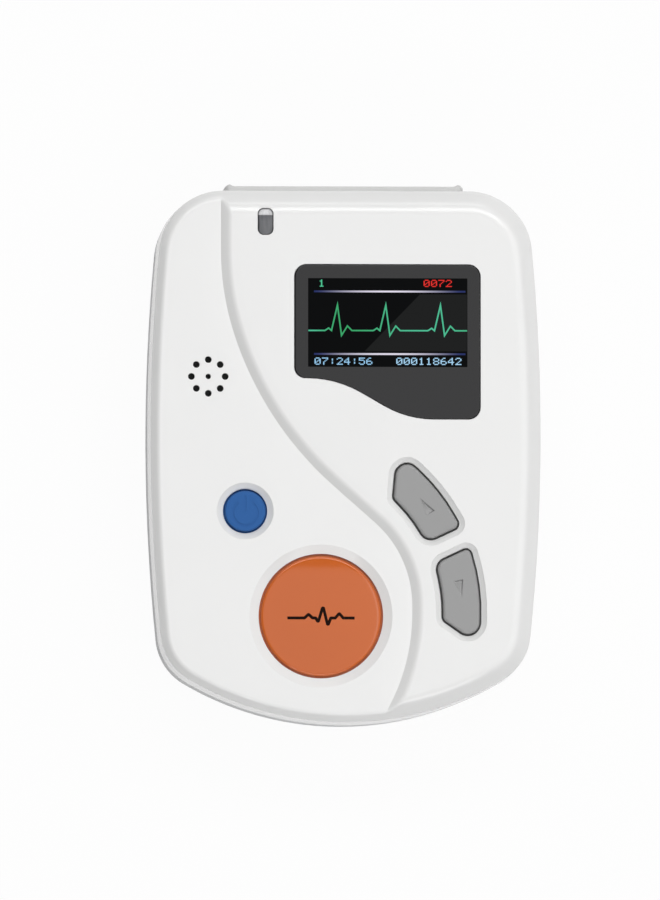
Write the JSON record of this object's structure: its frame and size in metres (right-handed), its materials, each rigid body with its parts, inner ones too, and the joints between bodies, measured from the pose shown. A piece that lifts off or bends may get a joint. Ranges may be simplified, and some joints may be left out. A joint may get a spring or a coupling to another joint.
{
  "type": "holter monitor",
  "caption": "Pocket heart-rhythm recorder with a colour screen, a large event button, power and arrow keys, a sliding battery door and a patient-cable socket.",
  "frame": {"origin": "middle of the footprint, on the surface that the recorder lies on with its back down", "axes": "+Z leaves the front face, +Y points to the end with the patient-cable socket, +X is to the right seen from the front"},
  "size_m": [0.069, 0.0948, 0.028],
  "materials": {
    "white_shell": "satin white moulded ABS",
    "grey_shell": "satin light grey moulded ABS",
    "frame_plastic": "satin off-white",
    "seal": "dark silicone",
    "black_plastic": "matte black",
    "gold_contact": "gold plated",
    "window": "back-printed dark grey acrylic",
    "smoked_window": "smoked translucent acrylic",
    "black_mesh": "woven acoustic mesh",
    "orange_button": "satin orange",
    "blue_button": "satin blue",
    "grey_key": "satin grey",
    "switch_plunger": "ivory",
    "green_board": "green solder mask",
    "blue_board": "blue solder mask",
    "display_glass": "black display glass",
    "ribbon": "amber polyimide",
    "led": "clear lens",
    "cell_jacket": "plain grey jacket",
    "steel": "nickel plated"
  },
  "bodies": {
    "housing": {"front_cover": "white_shell", "rear_cover": "grey_shell", "case_gasket": "seal", "end_panel": "frame_plastic", "patient_cable_socket": "black_plastic", "socket_contacts": "gold_contact", "display_window": "window", "status_window": "smoked_window", "speaker_mesh": "black_mesh", "speaker_seal": "seal", "speaker": "black_plastic", "mark_switch": "black_plastic", "power_switch": "black_plastic", "up_switch": "black_plastic", "down_switch": "black_plastic", "main_board": "green_board", "display_panel": "display_glass", "display_frame": "white_shell", "display_ribbon": "ribbon", "status_led": "led", "processor_chip": "black_plastic", "memory_chip": "black_plastic", "backup_cell": "steel", "board_connector": "frame_plastic", "front_end_board": "blue_board", "shield_can": "steel", "aa_cell_1": "cell_jacket", "aa_cell_2": "cell_jacket", "battery_springs": "steel", "battery_plates": "gold_contact", "case_screws": "steel", "board_screws": "steel"},
    "mark": {"mark_button": "orange_button", "mark_plunger": "switch_plunger"},
    "power": {"power_button": "blue_button", "power_plunger": "switch_plunger"},
    "up": {"up_key": "grey_key", "up_plunger": "switch_plunger"},
    "down": {"down_key": "grey_key", "down_plunger": "switch_plunger"},
    "door": {"battery_door": "grey_shell"}
  },
  "joints": [
    {"name": "mark_press", "type": "slide", "parent": "housing", "child": "mark", "axis": [0, 0, -1], "range_m": [0, 0.0008], "stiffness_N_per_m": 900, "springref_m": -0.001},
    {"name": "power_press", "type": "slide", "parent": "housing", "child": "power", "axis": [0, 0, -1], "range_m": [0, 0.0005], "stiffness_N_per_m": 900, "springref_m": -0.0008},
    {"name": "up_press", "type": "slide", "parent": "housing", "child": "up", "axis": [0, 0, -1], "range_m": [0, 0.0005], "stiffness_N_per_m": 900, "springref_m": -0.0008},
    {"name": "down_press", "type": "slide", "parent": "housing", "child": "down", "axis": [0, 0, -1], "range_m": [0, 0.0005], "stiffness_N_per_m": 900, "springref_m": -0.0008},
    {"name": "door_slide", "type": "slide", "parent": "housing", "child": "door", "axis": [0, -1, 0], "range_m": [0, 0.008]}
  ]
}
